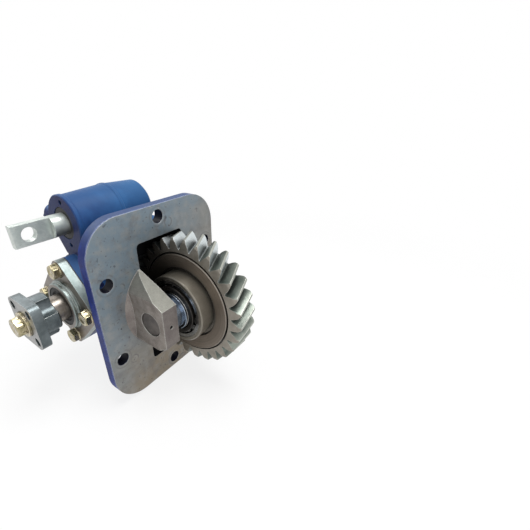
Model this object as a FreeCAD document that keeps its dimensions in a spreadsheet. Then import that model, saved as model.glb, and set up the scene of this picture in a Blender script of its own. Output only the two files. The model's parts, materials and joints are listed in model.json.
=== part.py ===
import FreeCAD, Part
import math
import os
import Sketcher

# Power take off unit, millimetres.
# X runs along the shafts, away from the output end. Y runs from the mounting face into the housing.
# Z is up. The origin is the centre of the bolt pattern on the mounting face.

os.makedirs("parts", exist_ok=True)
doc = FreeCAD.newDocument("power_take_off")
sheet = doc.addObject("Spreadsheet::Sheet", "Sizes")
rows = []
finished = []


class Size:
    """A length that carries its number and the expression that rebuilds it."""

    def __init__(self, value, text):
        self.value = value
        self.text = text

    def join(self, other, sign, swap=False):
        if not isinstance(other, Size):
            other = Size(float(other), "(" + repr(float(other)) + ")")
        a, b = (other, self) if swap else (self, other)
        text = "(" + a.text + " " + sign + " " + b.text + ")"
        if sign == "+":
            return Size(a.value + b.value, text)
        if sign == "-":
            return Size(a.value - b.value, text)
        if sign == "*":
            return Size(a.value * b.value, text)
        return Size(a.value / b.value, text)

    def __add__(self, other):
        return self.join(other, "+")

    def __radd__(self, other):
        return self.join(other, "+", True)

    def __sub__(self, other):
        return self.join(other, "-")

    def __rsub__(self, other):
        return self.join(other, "-", True)

    def __mul__(self, other):
        return self.join(other, "*")

    def __rmul__(self, other):
        return self.join(other, "*", True)

    def __truediv__(self, other):
        return self.join(other, "/")

    def __neg__(self):
        return self.join(-1, "*")


def size(name, value):
    rows.append(name)
    sheet.set("A%d" % len(rows), name)
    sheet.set("B%d" % len(rows), str(value))
    sheet.setAlias("B%d" % len(rows), name)
    return Size(float(value), "Sizes." + name)


def number(amount):
    return amount.value if isinstance(amount, Size) else float(amount)


def bind(thing, field, amount):
    setattr(thing, field, number(amount))
    if isinstance(amount, Size):
        thing.setExpression(field, amount.text)


TURNS = {
    "X": FreeCAD.Rotation(FreeCAD.Vector(0, 1, 0), 90),
    "Y": FreeCAD.Rotation(FreeCAD.Vector(1, 0, 0), -90),
    "Z": FreeCAD.Rotation(),
}


def place(thing, x, y, z, along="Z"):
    thing.Placement = FreeCAD.Placement(FreeCAD.Vector(number(x), number(y), number(z)), TURNS[along])
    for axis, amount in (("x", x), ("y", y), ("z", z)):
        if isinstance(amount, Size):
            thing.setExpression("Placement.Base." + axis, amount.text)


def rod(name, radius, length, x, y, z, along="X"):
    """Plain cylinder that starts at the point and runs along the named axis."""
    thing = doc.addObject("Part::Cylinder", name)
    bind(thing, "Radius", radius)
    bind(thing, "Height", length)
    place(thing, x, y, z, along)
    return thing


def hexagon(name, flats, length, x, y, z, along="X"):
    thing = doc.addObject("Part::Prism", name)
    thing.Polygon = 6
    bind(thing, "Circumradius", flats / math.sqrt(3.0))
    bind(thing, "Height", length)
    place(thing, x, y, z, along)
    return thing


def block(name, x0, x1, y0, y1, z0, z1):
    thing = doc.addObject("Part::Box", name)
    bind(thing, "Length", x1 - x0)
    bind(thing, "Width", y1 - y0)
    bind(thing, "Height", z1 - z0)
    place(thing, x0, y0, z0)
    return thing


def fuse(name, things):
    thing = doc.addObject("Part::MultiFuse", name)
    thing.Shapes = things
    return thing


def cut(name, base, tools):
    thing = doc.addObject("Part::Cut", name)
    thing.Base = base
    thing.Tool = tools[0] if len(tools) == 1 else fuse(name + "_tools", tools)
    return thing


def common(name, base, tool):
    thing = doc.addObject("Part::Common", name)
    thing.Base = base
    thing.Tool = tool
    return thing


def group(name, things):
    thing = doc.addObject("Part::Compound", name)
    thing.Links = things
    return thing


def finish(thing, label):
    thing.Label = label
    finished.append(thing)
    return thing


def new_sketch(body, name, role):
    sketch = body.newObject("Sketcher::SketchObject", name)
    for feature in body.Origin.OriginFeatures:
        if feature.Role == role:
            sketch.AttachmentSupport = [(feature, "")]
    sketch.MapMode = "FlatFace"
    return sketch


def tie(sketch, index, kind, amount):
    """Holds the start of a line to its distance from the sketch origin."""
    if not isinstance(amount, Size) and float(amount) == 0.0:
        sketch.addConstraint(Sketcher.Constraint("PointOnObject", index, 1, -2 if kind == "DistanceX" else -1))
        return
    at = sketch.addConstraint(Sketcher.Constraint(kind, -1, 1, index, 1, number(amount)))
    if isinstance(amount, Size):
        sketch.setExpression("Constraints[%d]" % at, amount.text)


def outline(sketch, corners):
    """Closed run of straight lines with both distances of every corner held."""
    points = [FreeCAD.Vector(number(u), number(v), 0) for u, v in corners]
    count = len(points)
    for i in range(count):
        sketch.addGeometry(Part.LineSegment(points[i], points[(i + 1) % count]), False)
    for i in range(count):
        sketch.addConstraint(Sketcher.Constraint("Coincident", i, 2, (i + 1) % count, 1))
    for i, (u, v) in enumerate(corners):
        tie(sketch, i, "DistanceX", u)
        tie(sketch, i, "DistanceY", v)


def turned(name, corners, y=0, z=0):
    """Body of revolution about a line along X; corners are pairs of position along X and radius."""
    body = doc.addObject("PartDesign::Body", name)
    sketch = new_sketch(body, name + "_section", "XY_Plane")
    outline(sketch, corners)
    solid = body.newObject("PartDesign::Revolution", name + "_turning")
    solid.Profile = sketch
    solid.ReferenceAxis = (sketch, ["H_Axis"])
    solid.Angle = 360
    body.Tip = solid
    place(body, 0, y, z)
    return body


def slab(name, role, corners, start, length, radius=None, taper=None):
    """Padded outline. YZ outlines grow towards +X from start; XZ outlines grow towards -Y from start."""
    body = doc.addObject("PartDesign::Body", name)
    sketch = new_sketch(body, name + "_outline", role)
    outline(sketch, corners)
    pad = body.newObject("PartDesign::Pad", name + "_pad")
    pad.Profile = sketch
    bind(pad, "Length", length)
    if taper is not None:
        bind(pad, "TaperAngle", taper)
    body.Tip = pad
    if role == "YZ_Plane":
        place(body, start, 0, 0)
    else:
        place(body, 0, start, 0)
    if radius is not None:
        doc.recompute()
        long_way = FreeCAD.Vector(1, 0, 0) if role == "YZ_Plane" else FreeCAD.Vector(0, 1, 0)
        names = []
        for i, edge in enumerate(pad.Shape.Edges):
            run = edge.Vertexes[-1].Point - edge.Vertexes[0].Point
            if run.Length > 0.01 and abs(run.normalize().dot(long_way)) > 0.9:
                names.append("Edge%d" % (i + 1))
        rounding = body.newObject("PartDesign::Fillet", name + "_rounding")
        rounding.Base = (pad, names)
        bind(rounding, "Radius", radius)
        body.Tip = rounding
    return body


def box_corners(half_x, half_z):
    return [(-half_x, -half_z), (half_x, -half_z), (half_x, half_z), (-half_x, half_z)]


# Mounting flange: a six hole opening with holes 4 7/8, 3 1/8 and 6 1/2 inches apart
side_holes_across = size("side_holes_across", 123.8)
side_holes_up = size("side_holes_up", 79.4)
end_holes_up = size("end_holes_up", 165.1)
mount_hole = size("mount_hole_radius", 6.35)
flange_half_width = size("flange_half_width", 74.5)
flange_half_height = size("flange_half_height", 93.4)
flange_corner = size("flange_corner_radius", 33)
flange_depth = size("flange_depth", 11)
window_half_width = size("window_half_width", 27.5)
window_half_height = size("window_half_height", 64.2)
window_corner = size("window_corner_radius", 4)

# Ears that carry the input gear in front of the face
ear_outer = window_half_width + size("ear_width", 16.3)
ear_front = size("ear_front", 42.7)
ear_nose_half = size("ear_nose_half_height", 19.6)
ear_kink_out = size("ear_kink_distance", 24)
ear_kink_half = size("ear_kink_half_height", 30)
ear_foot_half = size("ear_foot_half_height", 41)
ear_round = ear_outer + size("ear_round_beyond_ear", 6.7)
ear_flare = ear_outer + size("ear_flare_beyond_ear", 7)
ear_flare_depth = size("ear_flare_depth", 3.5)

# Gear pair: the big wheel in front meshes with a pinion on the output shaft
gear_module = size("normal_module", 4)
helix = size("helix_angle", 25)
pressure = size("pressure_angle", 25)
addendum = size("tooth_addendum", 4.4)
wheel_dedendum = size("wheel_dedendum", 6.2)
pinion_dedendum = size("pinion_dedendum", 5.4)
wheel_teeth = 28
pinion_teeth = 12
gear_left = size("gear_from_left_ear", 27.5) - window_half_width
gear_right = window_half_width - size("gear_from_right_ear", 3.5)
gear_width = gear_right - gear_left
wheel_out = size("wheel_axis_distance", 25)
output_rise = size("output_axis_rise", 3)
tooth_thinning = 0.17
wheel_phase = -0.046

# Wheel hub and its roller bearings
hub_ring = size("hub_ring_radius", 34)
hub_left = size("hub_from_left_ear", 13.5) - window_half_width
hub_right = window_half_width - size("hub_from_right_ear", 2.9)
web_outer = size("web_recess_outer_radius", 51)
web_inner = size("web_recess_inner_radius", 37)
web_depth = size("web_recess_depth", 2.4)
web_rise = size("raised_web_height", 1.2)
groove_depth = size("web_groove_depth", 3)
groove_width = size("web_groove_width", 1.6)
wheel_bore = size("wheel_bore_radius", 30)
idler_radius = size("idler_shaft_radius", 11.7)
cup_inner = size("cup_inner_radius", 26)
cone_outer = size("cone_outer_radius", 18.8)
roller_radius = size("roller_radius", 3.5)
roller_circle = size("roller_circle_radius", 22.4)
roller_count = 16
bearing_width = (hub_right - hub_left) * size("wheel_bearing_share", 0.4145)
roller_length = bearing_width - 4
cone_reach = size("left_cone_reach", 2.3)
cage_radius = size("cage_ring_radius", 24)
spacer_radius = size("spacer_radius", 15.8)
spacer_collar_radius = size("spacer_collar_radius", 18.6)
thrust_radius = size("thrust_washer_radius", 22)
idler_end = size("idler_shaft_end_recess", 0.8)
lock_pin_radius = size("lock_pin_radius", 1.8)
lock_pin_depth = size("lock_pin_depth", 22)
lock_pin_at = ear_outer - size("lock_pin_from_ear_face", 8.3)

# Output shaft line
barrel_radius = size("barrel_radius", 43.5)
case_left = size("case_left", -61.5)
case_right = window_half_width + size("right_bearing_housing_length", 22.5)
gear_chamber = size("gear_chamber_radius", 36.6)
chamber_left = size("chamber_left", -43.5)
shaft_radius = size("output_shaft_radius", 15)
seal_seat_radius = size("seal_seat_radius", 13)
coupling_seat_radius = size("coupling_seat_radius", 11)
right_seat_radius = size("right_bearing_seat_radius", 12.5)
left_bearing_radius = size("left_bearing_radius", 27.5)
right_bearing_radius = size("right_bearing_radius", 26)
ball_bearing_width = size("ball_bearing_width", 16)
ball_share = size("bearing_ball_share", 0.3)
spline_tip = size("spline_tip_radius", 17.5)
spline_half_width = size("spline_half_width", 3)
bush_radius = size("gear_bush_radius", 18)
dog_inner = size("dog_inner_radius", 18.6)
dog_outer = size("dog_outer_radius", 23.4)
dog_length = size("dog_length", 6)
sleeve_radius = size("sleeve_radius", 28)
sleeve_groove_radius = size("sleeve_groove_radius", 23)
sleeve_length = size("sleeve_length", 20)
fork_width = size("fork_width", 6)
fork_pin_radius = size("fork_pin_radius", 2.5)
fit_gap = size("running_gap", 0.06)
side_gap = size("side_gap", 0.3)

# Output cover and the square coupling flange
cover_depth = size("cover_depth", 8)
gasket_depth = size("gasket_depth", 0.8)
cover_bolt_circle = size("cover_bolt_circle_radius", 36)
cover_corner = size("cover_corner_radius", 9.5)
cover_bolt_radius = size("cover_bolt_radius", 4)
cover_bolt_flats = size("cover_bolt_flats", 13)
cover_bolt_head = size("cover_bolt_head", 5.3)
cover_bolt_length = size("cover_bolt_length", 22)
boss_radius = size("cover_boss_radius", 25.2)
boss_step_radius = size("cover_boss_step_radius", 23.6)
boss_length = size("cover_boss_length", 6)
seal_radius = size("oil_seal_radius", 20)
coupling_face = size("coupling_face", -109)
coupling_back = size("coupling_back", -86.5)
coupling_depth = size("coupling_plate_depth", 8.5)
coupling_half = size("coupling_plate_half_width", 22)
coupling_corner = size("coupling_corner_radius", 8)
coupling_hub = size("coupling_hub_radius", 20.5)
coupling_hole = size("coupling_hole_radius", 4.25)
coupling_hole_half = size("coupling_hole_half_spacing", 14.3)
flute_radius = size("coupling_flute_radius", 8.8)
flute_centre = size("coupling_flute_centre", 15.8)
end_bolt_radius = size("end_bolt_radius", 5)
end_bolt_flats = size("end_bolt_flats", 17)
end_bolt_head = size("end_bolt_head", 7)
end_bolt_length = size("end_bolt_length", 24)
end_washer_radius = size("end_washer_radius", 12)
end_washer_depth = size("end_washer_depth", 2.5)

# Shift cylinder, rod and fork
rod_y = size("shift_rod_depth", 68.6)
rod_z = size("shift_rod_height", 77.3)
rod_radius = size("shift_rod_radius", 10)
rod_left = size("shift_rod_left", -95)
rod_right = size("shift_rod_right", 20)
tang_right = size("tang_right", -64)
tang_half = size("tang_half_thickness", 3.5)
tang_hole = size("tang_hole_radius", 6.2)
tang_hole_in = size("tang_hole_from_end", 12.5)
tank_left = size("shift_cylinder_left", -51)
tank_middle = size("shift_cylinder_middle", -6)
tank_right = size("shift_cylinder_right", 33.5)
tank_left_radius = size("shift_cylinder_left_radius", 25)
tank_middle_radius = size("shift_cylinder_middle_radius", 27.2)
tank_right_radius = size("shift_cylinder_right_radius", 25.6)
collar_radius = size("shift_collar_radius", 25.8)
collar_length = size("shift_collar_length", 4)
shift_chamber = size("shift_chamber_radius", 18)
rod_seal_radius = size("rod_seal_radius", 15)
rod_seal_length = size("rod_seal_length", 3.8)
shift_travel = size("shift_travel", 11)
cap_radius = size("end_cap_radius", 14)
cap_length = size("end_cap_length", 5.5)
detent_x = size("detent_position", -42)
detent_boss = size("detent_boss_radius", 9)
detent_boss_end = size("detent_boss_end", 104)
detent_ball_radius = size("detent_ball_radius", 4)
plug_flats = size("detent_plug_flats", 14)
plug_radius = size("detent_plug_radius", 6)
plug_length = size("detent_plug_length", 10)

doc.recompute()

pi = math.pi
transverse = math.atan(math.tan(math.radians(pressure.value)) / math.cos(math.radians(helix.value)))
transverse_module = Size(
    gear_module.value / math.cos(math.radians(helix.value)),
    "(Sizes.normal_module / cos(Sizes.helix_angle))",
)
wheel_pitch = transverse_module * (wheel_teeth / 2.0)
pinion_pitch = transverse_module * (pinion_teeth / 2.0)
centre_distance = wheel_pitch + pinion_pitch
output_run = Size(
    math.sqrt(centre_distance.value ** 2 - output_rise.value ** 2),
    "sqrt(" + centre_distance.text + " ^ 2 - Sizes.output_axis_rise ^ 2)",
)
wheel_y = -wheel_out
output_y = output_run - wheel_out
output_z = output_rise


# Involute gears
def involute(angle):
    return math.tan(angle) - angle


def tooth_outline(teeth, pitch_radius, dedendum, x, turn):
    """Outline of all the teeth in one plane across the axis; turn is the angle of the first tooth."""
    base = pitch_radius * math.cos(transverse)
    tip = pitch_radius + addendum.value
    root = pitch_radius - dedendum
    half = (pi * transverse_module.value / 2.0 - tooth_thinning) / (2.0 * pitch_radius)
    start = max(base, root + 0.3 * gear_module.value)

    def half_angle(radius):
        roll = math.acos(min(1.0, base / max(radius, base)))
        return half + involute(transverse) - involute(roll)

    def at(radius, angle):
        return FreeCAD.Vector(x, radius * math.cos(angle), radius * math.sin(angle))

    stations = [(root, half_angle(start) + 0.26 * gear_module.value / root)]
    stations.append((root + 0.11 * gear_module.value, half_angle(start) + 0.09 * gear_module.value / root))
    for i in range(5):
        radius = start + (tip - start) * i / 4.0
        stations.append((radius, half_angle(radius)))
    edges = []
    for k in range(teeth):
        centre = turn + 2.0 * pi * k / teeth
        rising = [at(r, centre - a) for r, a in stations]
        falling = [at(r, centre + a) for r, a in reversed(stations)]
        for run in (rising, None, falling):
            if run is None:
                edges.append(Part.Arc(rising[-1], at(tip, centre), falling[0]).toShape())
            else:
                curve = Part.BSplineCurve()
                curve.interpolate(run)
                edges.append(curve.toShape())
        following = at(root, centre + 2.0 * pi / teeth - stations[0][1])
        edges.append(Part.Arc(falling[-1], at(root, centre + pi / teeth), following).toShape())
    return Part.Wire(edges)


def toothed(name, teeth, pitch_radius, dedendum, first, hand, y, z):
    """Helical gear body lofted through turned copies of its tooth outline."""
    sections = []
    middle = gear_left.value + gear_width.value / 2.0
    for i in range(3):
        x = gear_left.value + gear_width.value * i / 2.0
        turn = first + hand * (x - middle) * math.tan(math.radians(helix.value)) / pitch_radius
        section = doc.addObject("Part::Feature", "%s_outline_%d" % (name, i + 1))
        section.Shape = tooth_outline(teeth, pitch_radius, dedendum, x, turn)
        place(section, 0, y, z)
        sections.append(section)
    solid = doc.addObject("Part::Loft", name)
    solid.Sections = sections
    solid.Solid = True
    solid.Ruled = False
    return solid


line_of_centres = math.atan2(output_rise.value, output_run.value)
wheel_first = line_of_centres + wheel_phase
pinion_first = line_of_centres + pi - wheel_phase * wheel_teeth / pinion_teeth + pi / pinion_teeth

# Input gear
wheel_solid = toothed("wheel_teeth_body", wheel_teeth, wheel_pitch.value, wheel_dedendum.value,
                      wheel_first, -1.0, wheel_y, 0)
wheel_tip = wheel_pitch + addendum
wheel_hub = turned("wheel_hub", [
    (hub_left, wheel_bore - 1),
    (hub_left, hub_ring - 0.8),
    (hub_left + 0.8, hub_ring),
    (hub_right - 0.5, hub_ring),
    (hub_right, hub_ring - 0.5),
    (hub_right, wheel_bore - 1),
], wheel_y, 0)
left_recess = turned("wheel_left_recess", [
    (gear_left - 1, hub_ring - 1),
    (gear_left + groove_depth, hub_ring - 1),
    (gear_left + groove_depth, web_outer + groove_width),
    (gear_left - 1, web_outer + groove_width),
], wheel_y, 0)
raised_web = turned("wheel_raised_web", [
    (gear_left + groove_depth + 0.5, web_inner),
    (gear_left + 1.2, web_inner),
    (gear_left + 0.8, web_inner + 0.5),
    (gear_left - web_rise, web_outer - 0.5),
    (gear_left - web_rise + 0.5, web_outer),
    (gear_left + groove_depth + 0.5, web_outer),
], wheel_y, 0)
right_recess = turned("wheel_right_recess", [
    (gear_right + 1, web_inner),
    (gear_right, web_inner),
    (gear_right - web_depth, web_inner + 1),
    (gear_right - web_depth, web_outer - 1.6),
    (gear_right, web_outer),
    (gear_right + 1, web_outer),
], wheel_y, 0)
left_bevel = turned("wheel_left_bevel", [
    (gear_left - 1, wheel_tip - 2.6),
    (gear_left, wheel_tip - 2.6),
    (gear_left + 1.3, wheel_tip + 0.1),
    (gear_left + 1.3, wheel_tip + 3),
    (gear_left - 1, wheel_tip + 3),
], wheel_y, 0)
right_bevel = turned("wheel_right_bevel", [
    (gear_right + 1, wheel_tip - 2.6),
    (gear_right, wheel_tip - 2.6),
    (gear_right - 1.3, wheel_tip + 0.1),
    (gear_right - 1.3, wheel_tip + 3),
    (gear_right + 1, wheel_tip + 3),
], wheel_y, 0)
wheel_hole = rod("wheel_hole", wheel_bore, hub_right - hub_left + 4, hub_left - 2, wheel_y, 0)
wheel_blank = cut("wheel_blank", wheel_solid, [left_recess, right_recess, left_bevel, right_bevel])
input_gear = finish(cut("wheel", fuse("wheel_with_hub", [wheel_blank, wheel_hub, raised_web]), [wheel_hole]), "input_gear")

# Roller bearings inside the input gear
bearing_at = [(hub_left + 0.3, cone_reach), (hub_right - 0.3 - bearing_width, cone_reach * 0)]
cups = []
cones = []
cages = []
rollers = []
for n, (start, reach) in enumerate(bearing_at):
    cups.append(turned("cup_%d" % (n + 1), [
        (start, cup_inner + 0.6),
        (start + 0.6, cup_inner),
        (start + bearing_width - 0.6, cup_inner),
        (start + bearing_width, cup_inner + 0.6),
        (start + bearing_width, wheel_bore - 0.01),
        (start, wheel_bore - 0.01),
    ], wheel_y, 0))
    cones.append(turned("cone_%d" % (n + 1), [
        (start - reach, idler_radius + fit_gap),
        (start - reach, cone_outer - 0.6),
        (start - reach + 0.6, cone_outer),
        (start + bearing_width - 0.6, cone_outer),
        (start + bearing_width, cone_outer - 0.6),
        (start + bearing_width, idler_radius + fit_gap),
    ], wheel_y, 0))
    left_ring = (start - reach + 0.4, reach + 1.2)
    right_ring = (start + bearing_width - 1.6, reach * 0 + 1.2)
    for m, (at, long) in enumerate((left_ring, right_ring)):
        cages.append(turned("cage_%d_%d" % (n + 1, m + 1), [
            (at, cone_outer + 1.2),
            (at, cage_radius - 0.5),
            (at + 0.5, cage_radius),
            (at + long, cage_radius),
            (at + long, cage_radius - 1),
            (at + 1.1, cage_radius - 1),
            (at + 1.1, cone_outer + 1.2),
        ], wheel_y, 0))
    for k in range(roller_count):
        angle = 2.0 * pi * (k + 0.5) / roller_count
        rollers.append(rod(
            "roller_%d_%d" % (n + 1, k + 1), roller_radius, roller_length,
            start + (bearing_width - roller_length) / 2.0,
            wheel_y + roller_circle * math.cos(angle), roller_circle * math.sin(angle)))
finish(group("cups", cups), "bearing_cups")
finish(group("cones", cones), "bearing_cones")
finish(group("cages", cages), "roller_cages")
finish(group("rollers", rollers), "bearing_rollers")

# Idler shaft, its pin, spacer and thrust washer
idler_left = -ear_outer + idler_end
idler_length = (ear_outer - idler_end) * 2.0
idler_solid = turned("idler_turning", [
    (idler_left, 0),
    (idler_left, idler_radius - 1),
    (idler_left + 1, idler_radius),
    (idler_left + idler_length - 1, idler_radius),
    (idler_left + idler_length, idler_radius - 1),
    (idler_left + idler_length, 0),
], wheel_y, 0)
pin_hole_in_shaft = rod("pin_hole_in_shaft", lock_pin_radius + 0.02, lock_pin_depth + 2,
                        -lock_pin_at, -ear_front - 2, 0, "Y")
finish(cut("idler", idler_solid, [pin_hole_in_shaft]), "idler_shaft")
finish(rod("lock_pin", lock_pin_radius, lock_pin_depth - 1.4, -lock_pin_at, -ear_front + 1.4, 0, "Y"),
       "lock_pin")
finish(turned("spacer", [
    (-window_half_width + 0.1, idler_radius + fit_gap),
    (-window_half_width + 0.1, spacer_radius - 0.5),
    (-window_half_width + 0.6, spacer_radius),
    (hub_left - cone_reach - 1.8, spacer_radius),
    (hub_left - cone_reach - 1.8, spacer_collar_radius - 0.4),
    (hub_left - cone_reach - 1.4, spacer_collar_radius),
    (hub_left - cone_reach + 0.2, spacer_collar_radius),
    (hub_left - cone_reach + 0.2, idler_radius + fit_gap),
], wheel_y, 0), "idler_spacer")
finish(turned("thrust", [
    (hub_right - 0.2, idler_radius + fit_gap),
    (hub_right - 0.2, cone_outer - 1),
    (hub_right + 0.4, cone_outer),
    (hub_right + 0.4, thrust_radius),
    (window_half_width - 0.1, thrust_radius),
    (window_half_width - 0.1, idler_radius + fit_gap),
], wheel_y, 0), "thrust_washer")
finish(turned("bearing_spacer", [
    (hub_left + 0.4 + bearing_width, idler_radius + fit_gap),
    (hub_left + 0.4 + bearing_width, cone_outer - 1),
    (hub_right - 0.4 - bearing_width, cone_outer - 1),
    (hub_right - 0.4 - bearing_width, idler_radius + fit_gap),
], wheel_y, 0), "cone_spacer")

# Housing, outside
flange = slab("flange", "XZ_Plane", box_corners(flange_half_width, flange_half_height),
              flange_depth, flange_depth, flange_corner)
case_half_width = window_half_width + 9
case_half_height = window_half_height + 7.5
gear_case = slab("gear_case", "XZ_Plane", box_corners(case_half_width, case_half_height),
                 output_y - 14, output_y - 15, 16)
barrel_left = chamber_left - 6
barrel = rod("barrel", barrel_radius, case_right - 6 - barrel_left, barrel_left, output_y, output_z)
barrel_end = turned("barrel_end", [
    (case_right - 7, 0),
    (case_right - 7, barrel_radius - 5),
    (case_right - 1.5, barrel_radius - 7),
    (case_right, barrel_radius - 8.5),
    (case_right, 0),
], output_y, output_z)


def diamond(name, start, length):
    """Square plate stood on its corner, with the four bolts near the corners."""
    reach = cover_bolt_circle + cover_corner * math.sqrt(2.0)
    corners = [
        (output_y, output_z - reach),
        (output_y + reach, output_z),
        (output_y, output_z + reach),
        (output_y - reach, output_z),
    ]
    return slab(name, "YZ_Plane", corners, start, length, cover_corner)


cover_boss_solid = diamond("cover_seat", case_left, chamber_left - case_left)
tank = turned("tank", [
    (tank_left, 0),
    (tank_left, collar_radius - 1),
    (tank_left + 1, collar_radius),
    (tank_left + collar_length, collar_radius),
    (tank_left + collar_length + 1, tank_left_radius),
    (tank_middle, tank_middle_radius),
    (tank_middle + 1, tank_middle_radius + 0.7),
    (tank_middle + 3, tank_middle_radius + 0.7),
    (tank_middle + 4, tank_middle_radius),
    (tank_right - 4, tank_right_radius),
    (tank_right, tank_right_radius - 4),
    (tank_right, 0),
], rod_y, rod_z)
collar_foot = slab("collar_foot", "YZ_Plane", [
    (rod_y - 21, rod_z - 12),
    (rod_y - 9, rod_z - 31),
    (rod_y + 9, rod_z - 31),
    (rod_y + 21, rod_z - 12),
    (rod_y + 12, rod_z),
    (rod_y - 12, rod_z),
], tank_left, collar_length + 6)
neck = slab("neck", "YZ_Plane", [
    (rod_y - 22, rod_z - 8),
    (output_y - 36, output_z + 12),
    (output_y + 34, output_z + 12),
    (rod_y + 22, rod_z - 8),
], tank_left + 8, tank_right - tank_left - 12)
detent_boss_solid = rod("detent_boss_solid", detent_boss, detent_boss_end - rod_y,
                        detent_x, rod_y, rod_z + 2, "Y")

ears = []
for side, sign in (("left", -1), ("right", 1)):
    start = -ear_outer if sign < 0 else window_half_width
    profile = slab("ear_profile_" + side, "YZ_Plane", [
        (2, -ear_foot_half),
        (0, -ear_foot_half),
        (-ear_kink_out, -ear_kink_half),
        (-ear_front, -ear_nose_half),
        (-ear_front, ear_nose_half),
        (-ear_kink_out, ear_kink_half),
        (0, ear_foot_half),
        (2, ear_foot_half),
    ], start, ear_outer - window_half_width)
    turning = rod("ear_round_" + side, ear_round, ear_front + 4, 0, -ear_front - 2, 0, "Y")
    ears.append(common("ear_" + side, profile, turning))
    flare = doc.addObject("Part::Cone", "ear_flare_" + side)
    bind(flare, "Radius1", ear_outer)
    bind(flare, "Radius2", ear_flare)
    bind(flare, "Height", ear_flare_depth)
    place(flare, 0, -ear_flare_depth, 0, "Y")
    if sign < 0:
        limit = block("ear_limit_left", -ear_flare - 1, -window_half_width,
                      -ear_flare_depth - 1, flange_depth / 2.0, -ear_foot_half, ear_foot_half)
    else:
        limit = block("ear_limit_right", window_half_width, ear_flare + 1,
                      -ear_flare_depth - 1, flange_depth / 2.0, -ear_foot_half, ear_foot_half)
    ears.append(common("ear_base_" + side, flare, limit))

housing_outside = fuse("housing_outside", [
    flange, gear_case, barrel, barrel_end, cover_boss_solid, tank, collar_foot, neck, detent_boss_solid] + ears)

# Housing, inside
window = slab("window", "XZ_Plane", box_corners(window_half_width, window_half_height),
              output_y - 22.5, output_y - 21.5, window_corner)
chamber = rod("chamber", gear_chamber, window_half_width - chamber_left, chamber_left, output_y, output_z)
room_left = detent_x + detent_ball_radius + 0.5
sleeve_room = rod("sleeve_room", sleeve_radius + 8, gear_left - 1 - chamber_left, chamber_left,
                  output_y, output_z)
left_bore = rod("left_bore", left_bearing_radius, chamber_left - case_left + 2, case_left - 2,
                output_y, output_z)
right_bore = rod("right_bore", right_bearing_radius, case_right - window_half_width + 2, window_half_width - 1,
                 output_y, output_z)
fork_way = block("fork_way", room_left, gear_left + 3, rod_y - 12, rod_y + 12,
                 output_z + 20, rod_z + 2)
rod_bore = rod("rod_bore", rod_radius + fit_gap, tank_right - tank_left + 10, tank_left - 8, rod_y, rod_z)
seal_bore = rod("seal_bore", rod_seal_radius, rod_seal_length + 2, tank_left - 2, rod_y, rod_z)
shift_room = rod("shift_room", shift_chamber, gear_left + 3 - room_left, room_left, rod_y, rod_z)
cap_bore = rod("cap_bore", rod_radius + 1.5, 10, tank_right - 8, rod_y, rod_z)
idler_bore = rod("idler_bore", idler_radius + 0.01, ear_outer * 2.0 + 4, -ear_outer - 2, wheel_y, 0)
pin_bore = rod("pin_bore", lock_pin_radius + 0.02, lock_pin_depth + 2, -lock_pin_at, -ear_front - 2, 0, "Y")
detent_bore = rod("detent_bore", detent_ball_radius + fit_gap, detent_boss_end - rod_y - 4, detent_x, rod_y + 6,
                  rod_z, "Y")
detent_thread = rod("detent_thread", plug_radius, plug_length + 2, detent_x, detent_boss_end - plug_length,
                    rod_z, "Y")
holes = []
for n, (x, z) in enumerate((
        (-side_holes_across / 2.0, side_holes_up / 2.0),
        (side_holes_across / 2.0, side_holes_up / 2.0),
        (side_holes_across / 2.0, -side_holes_up / 2.0),
        (-side_holes_across / 2.0, -side_holes_up / 2.0),
        (0, end_holes_up / 2.0),
        (0, -end_holes_up / 2.0))):
    holes.append(rod("mount_hole_%d" % (n + 1), mount_hole, flange_depth + 4, x, -2, z, "Y"))
quarters = ((0, 1), (1, 0), (0, -1), (-1, 0))
for n, (a, b) in enumerate(quarters):
    holes.append(rod("cover_thread_%d" % (n + 1), cover_bolt_radius + 0.05,
                     cover_bolt_length - cover_depth + 2, case_left - 1,
                     output_y + cover_bolt_circle * a, output_z + cover_bolt_circle * b))
for n, (a, b) in enumerate(((-3.0, 19.5), (-3.0, -20.5))):
    holes.append(rod("end_face_hole_%d" % (n + 1), 2.2, 7, tank_left - 1, rod_y + a, rod_z + b))

housing = finish(cut("housing_body", housing_outside, [
    window, chamber, sleeve_room, left_bore, right_bore, fork_way, rod_bore, seal_bore, shift_room,
    cap_bore, idler_bore, pin_bore, detent_bore, detent_thread] + holes), "housing")

# Output cover, gasket, seal and bolts
cover_right = case_left - gasket_depth
cover_left = cover_right - cover_depth
gasket_hole = rod("gasket_hole", left_bearing_radius + 0.2, 6, case_left - 3, output_y, output_z)
gasket_bolt_holes = []
cover_bolt_holes = []
bolts = []
for n, (a, b) in enumerate(quarters):
    y = output_y + cover_bolt_circle * a
    z = output_z + cover_bolt_circle * b
    gasket_bolt_holes.append(rod("gasket_bolt_hole_%d" % (n + 1), cover_bolt_radius + 0.5, 6,
                                 case_left - 3, y, z))
    cover_bolt_holes.append(rod("cover_bolt_hole_%d" % (n + 1), cover_bolt_radius + 0.3, 20,
                                cover_left - 6, y, z))
    shank = rod("cover_bolt_shank_%d" % (n + 1), cover_bolt_radius, cover_bolt_length, cover_left - 0.5, y, z)
    collar = rod("cover_bolt_washer_%d" % (n + 1), cover_bolt_flats * 0.58, 1.2, cover_left - 1.2, y, z)
    head = hexagon("cover_bolt_head_%d" % (n + 1), cover_bolt_flats, cover_bolt_head,
                   cover_left - 1.2 - cover_bolt_head, y, z)
    bolts.append(fuse("cover_bolt_%d" % (n + 1), [shank, collar, head]))
finish(cut("gasket", diamond("gasket_plate", cover_right, gasket_depth), [gasket_hole] + gasket_bolt_holes),
       "cover_gasket")
cover_plate = diamond("cover_plate", cover_left, cover_depth)
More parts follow.
